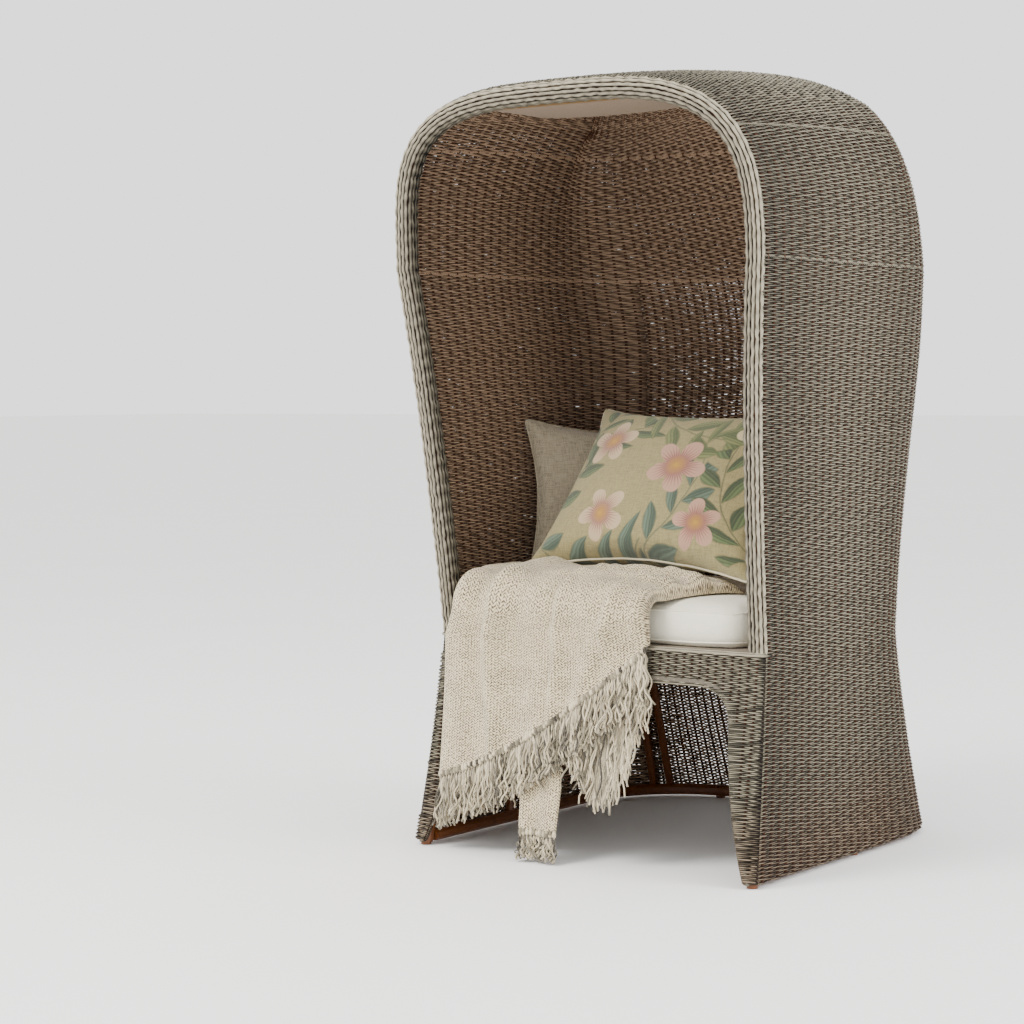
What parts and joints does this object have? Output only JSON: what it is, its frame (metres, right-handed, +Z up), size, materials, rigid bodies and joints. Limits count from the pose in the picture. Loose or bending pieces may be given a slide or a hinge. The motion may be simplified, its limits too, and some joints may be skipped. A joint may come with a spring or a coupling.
{
  "type": "hooded beach chair",
  "caption": "Wicker chair whose sides, back and domed hood are one woven shell with an arched open front, on a pole frame with a woven seat, loose cushions and a fringed throw.",
  "frame": {"origin": "centre of the bounding box in plan, on the floor", "axes": "+X to the sitter's left (the right in the picture), -Y out of the open front, +Z up"},
  "size_m": [0.82, 0.9056, 1.4857],
  "materials": {
    "grey_washed_wicker": "grey washed, matte woven",
    "rattan_pole": "dark stained, satin",
    "rattan_cane": "grey washed, matte",
    "glide": "moulded, matte",
    "cushion_cotton": "plain weave, off-white",
    "linen_taupe": "coarse plain weave",
    "printed_linen": "plain weave, printed",
    "knit_throw": "chunky knit",
    "lining_canvas": "plain weave canvas, tan"
  },
  "bodies": {
    "root": {"side_weave_right": "grey_washed_wicker", "side_weave_left": "grey_washed_wicker", "back_weave": "grey_washed_wicker", "shoulder_weave": "grey_washed_wicker", "roof_weave": "grey_washed_wicker", "apron_weave": "grey_washed_wicker", "rim_border": "grey_washed_wicker", "front_hoop": "rattan_pole", "base_rail": "rattan_pole", "seat_rail": "rattan_pole", "seat_front_rail": "rattan_pole", "shoulder_ring": "rattan_pole", "crown_ring": "rattan_pole", "arch_cane": "rattan_cane", "side_post_left": "rattan_pole", "corner_post_fore_left": "rattan_pole", "corner_post_aft_left": "rattan_pole", "side_post_right": "rattan_pole", "corner_post_fore_right": "rattan_pole", "corner_post_aft_right": "rattan_pole", "seat_bearer_1": "rattan_pole", "seat_bearer_2": "rattan_pole", "seat_bearer_3": "rattan_pole", "seat_deck": "grey_washed_wicker", "glide_front_left": "glide", "glide_side_left": "glide", "glide_back_left": "glide", "glide_front_right": "glide", "glide_side_right": "glide", "glide_back_right": "glide", "hood_lining": "lining_canvas", "seat_cushion": "cushion_cotton", "scatter_cushion_print": "printed_linen", "scatter_cushion_plain": "linen_taupe", "throw": "knit_throw", "throw_fringe": "knit_throw"}
  },
  "joints": []
}
